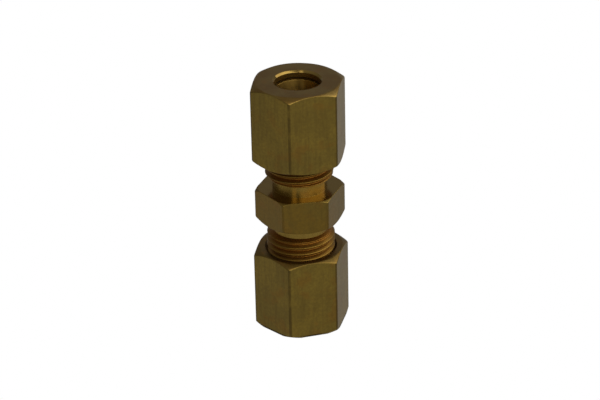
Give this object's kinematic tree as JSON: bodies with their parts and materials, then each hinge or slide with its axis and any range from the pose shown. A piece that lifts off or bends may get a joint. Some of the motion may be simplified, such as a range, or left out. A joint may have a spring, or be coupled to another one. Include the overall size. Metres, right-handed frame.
{
  "type": "compression fitting",
  "caption": "Straight brass compression union: hexagon body with threaded ends, long cap nuts and sleeves that clamp a tube into each end.",
  "frame": {"origin": "centre of the body's hexagon, on the common axis", "axes": "+Z along the axis, up to the top nut; +X through a corner of the body's hexagon"},
  "size_m": [0.0182, 0.0174, 0.049],
  "materials": {
    "body_brass": "turned and drawn, lightly tarnished",
    "nut_brass": "drawn flats with a dull olive-brown tarnish",
    "sleeve_brass": "bright turned"
  },
  "bodies": {
    "body": {"union_body": "body_brass"},
    "top_sleeve": {"sleeve_top": "sleeve_brass"},
    "top_nut": {"nut_top": "nut_brass"},
    "bottom_sleeve": {"sleeve_bottom": "sleeve_brass"},
    "bottom_nut": {"nut_bottom": "nut_brass"}
  },
  "joints": [
    {"name": "top_travel", "type": "slide", "parent": "body", "child": "top_sleeve", "axis": [0, 0, 1], "range_m": [-0.0019, 0.00825]},
    {"name": "top_turn", "type": "hinge", "parent": "top_sleeve", "child": "top_nut", "pos_m": [0, 0, 0.017], "axis": [0, 0, 1], "range_deg": [-540, 2340]},
    {"name": "bottom_travel", "type": "slide", "parent": "body", "child": "bottom_sleeve", "axis": [0, 0, -1], "range_m": [-0.0019, 0.00825]},
    {"name": "bottom_turn", "type": "hinge", "parent": "bottom_sleeve", "child": "bottom_nut", "pos_m": [0, 0, -0.017], "axis": [0, 0, -1], "range_deg": [-540, 2340]}
  ],
  "couplings": [
    {"joint": "top_turn", "follows": "top_travel", "rad_per_m": 4947.4},
    {"joint": "bottom_turn", "follows": "bottom_travel", "rad_per_m": 4947.4}
  ]
}
